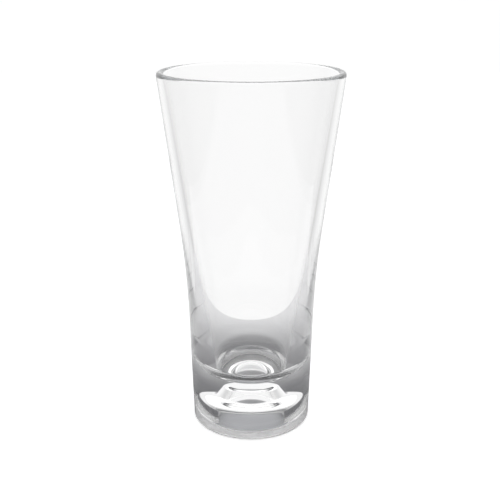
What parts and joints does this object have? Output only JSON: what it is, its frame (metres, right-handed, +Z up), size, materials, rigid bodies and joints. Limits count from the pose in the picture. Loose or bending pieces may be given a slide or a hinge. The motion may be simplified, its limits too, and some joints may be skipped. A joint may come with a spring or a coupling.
{
  "type": "pint glass",
  "caption": "Tall clear flared tumbler with a rounded lip, a straight conical inside, a heavy solid base and a bell-shaped recess underneath.",
  "frame": {"origin": "on the glass's axis, in the plane that its foot stands on", "axes": "+Z up along the axis, from the foot to the rim; X and Y are any two directions across"},
  "size_m": [0.0902, 0.0902, 0.181],
  "materials": {
    "clear_glass": "clear, colourless, polished"
  },
  "bodies": {
    "root": {"glass_body": "clear_glass"}
  },
  "joints": []
}
